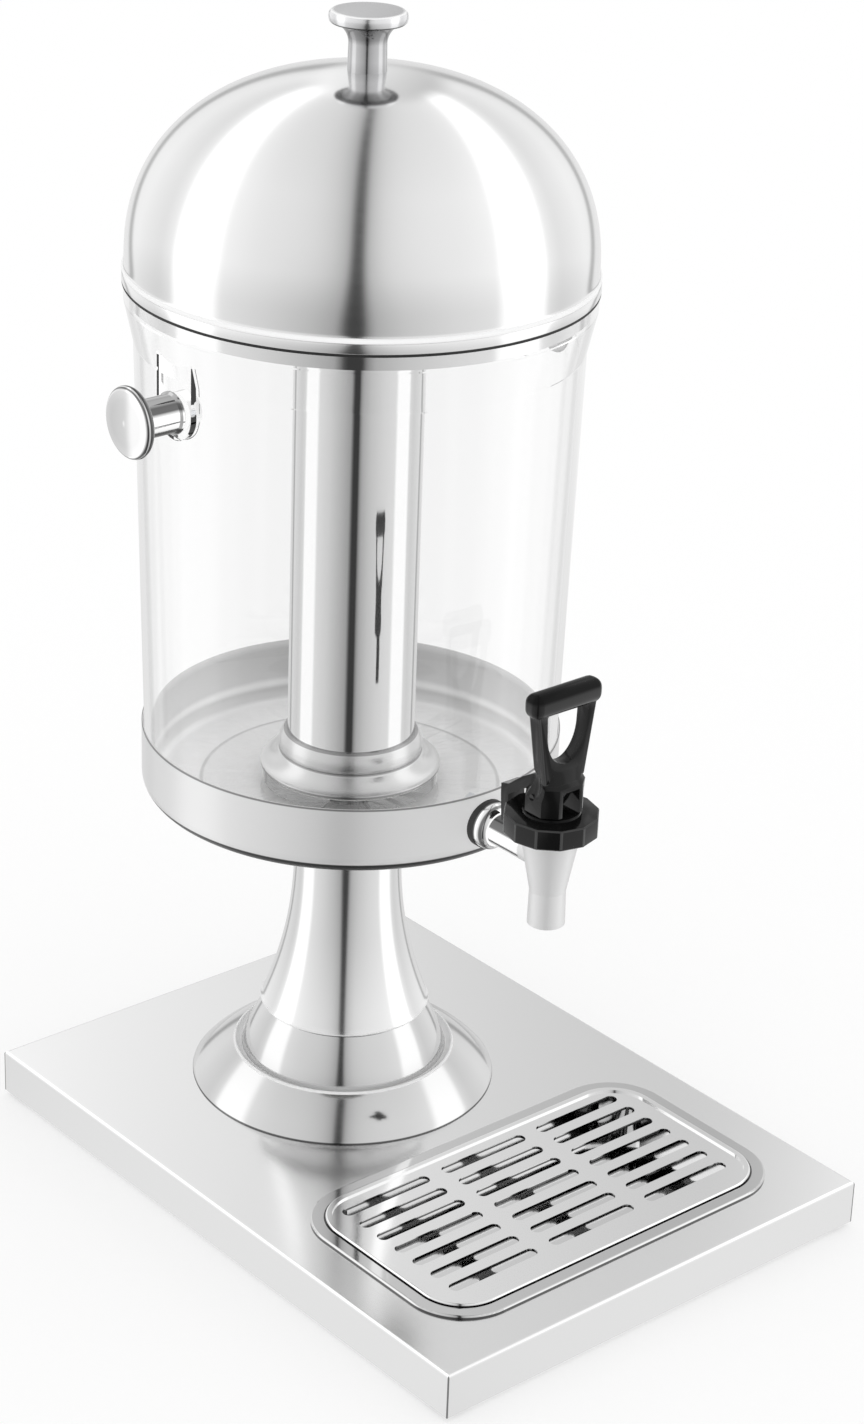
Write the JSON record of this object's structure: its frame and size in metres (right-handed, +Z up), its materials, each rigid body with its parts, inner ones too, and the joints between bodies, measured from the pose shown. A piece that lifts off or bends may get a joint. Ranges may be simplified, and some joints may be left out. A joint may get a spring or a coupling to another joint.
{
  "type": "juice dispenser",
  "caption": "Catering juice dispenser: domed steel lid over a clear tank with an ice tube, lever tap, trumpet pedestal and a folded base with a drip tray.",
  "frame": {"origin": "centre of the base on the floor, under the rubber feet", "axes": "+Z up, -Y towards the user and the tap, +X to the user's right when facing the tap"},
  "size_m": [0.2678, 0.352, 0.5688],
  "materials": {
    "polished_steel": "mirror polished stainless steel",
    "satin_steel": "satin stainless steel",
    "bright_chrome": "bright chrome plate",
    "zinc_steel": "plain zinc-plated fasteners",
    "clear_plastic": "clear moulded polycarbonate",
    "black_plastic": "glossy moulded black plastic",
    "black_rubber": "matt black rubber",
    "white_silicone": "translucent white silicone"
  },
  "bodies": {
    "stand": {"base_pan": "satin_steel", "rubber_feet": "black_rubber", "foot_screws": "zinc_steel", "foot_nuts": "zinc_steel", "pedestal_foot": "polished_steel", "pedestal_stem": "polished_steel", "tank_support_plate": "polished_steel", "pan_backing_plate": "zinc_steel", "tie_rod": "zinc_steel", "tie_rod_nuts": "zinc_steel", "tie_rod_washers": "zinc_steel"},
    "tank": {"container": "clear_plastic", "steel_cup": "polished_steel", "ice_tube": "polished_steel", "ice_tube_base": "polished_steel", "ice_tube_spacer": "clear_plastic", "ice_tube_gasket": "white_silicone", "ice_tube_stud": "zinc_steel", "locating_spigot": "zinc_steel", "side_knob_left": "bright_chrome", "side_knob_right": "bright_chrome", "side_knob_studs": "zinc_steel", "side_knob_washers": "white_silicone", "tap_body": "bright_chrome", "tap_escutcheon": "bright_chrome", "tap_outer_washer": "black_rubber", "tap_inner_washer": "white_silicone", "tap_lock_nut": "zinc_steel", "tap_bonnet": "black_plastic", "valve_spring": "zinc_steel"},
    "lid": {"lid_dome": "polished_steel", "lid_seat_ring": "polished_steel", "lid_knob": "bright_chrome", "lid_knob_screw": "zinc_steel", "lid_knob_washer": "zinc_steel"},
    "valve": {"valve_stem": "zinc_steel", "valve_seat_cup": "white_silicone", "handle_pin": "zinc_steel"},
    "tap_handle": {"tap_handle": "black_plastic"},
    "drip_tray": {"drip_tray": "polished_steel"},
    "drip_grate": {"drip_grate": "satin_steel"}
  },
  "joints": [
    {"name": "tank_lift", "type": "slide", "parent": "stand", "child": "tank", "axis": [0, 0, 1], "range_m": [0, 0.08]},
    {"name": "lid_lift", "type": "slide", "parent": "tank", "child": "lid", "axis": [0, 0, 1], "range_m": [0, 0.15]},
    {"name": "valve_lift", "type": "slide", "parent": "tank", "child": "valve", "axis": [0, 0, 1], "range_m": [0, 0.0042], "deforming": ["valve_spring"]},
    {"name": "handle_tilt", "type": "hinge", "parent": "valve", "child": "tap_handle", "pos_m": [0, -0.08505, 0.2392], "axis": [1, 0, 0], "range_deg": [0, 25], "stiffness_Nm_per_rad": 0.032, "springref_deg": -63.03},
    {"name": "drip_tray_lift", "type": "slide", "parent": "stand", "child": "drip_tray", "axis": [0, 0, 1], "range_m": [0, 0.05]},
    {"name": "drip_grate_lift", "type": "slide", "parent": "drip_tray", "child": "drip_grate", "axis": [0, 0, 1], "range_m": [0, 0.05]}
  ],
  "couplings": [
    {"joint": "valve_lift", "follows": "handle_tilt", "m_per_rad": 0.009}
  ]
}
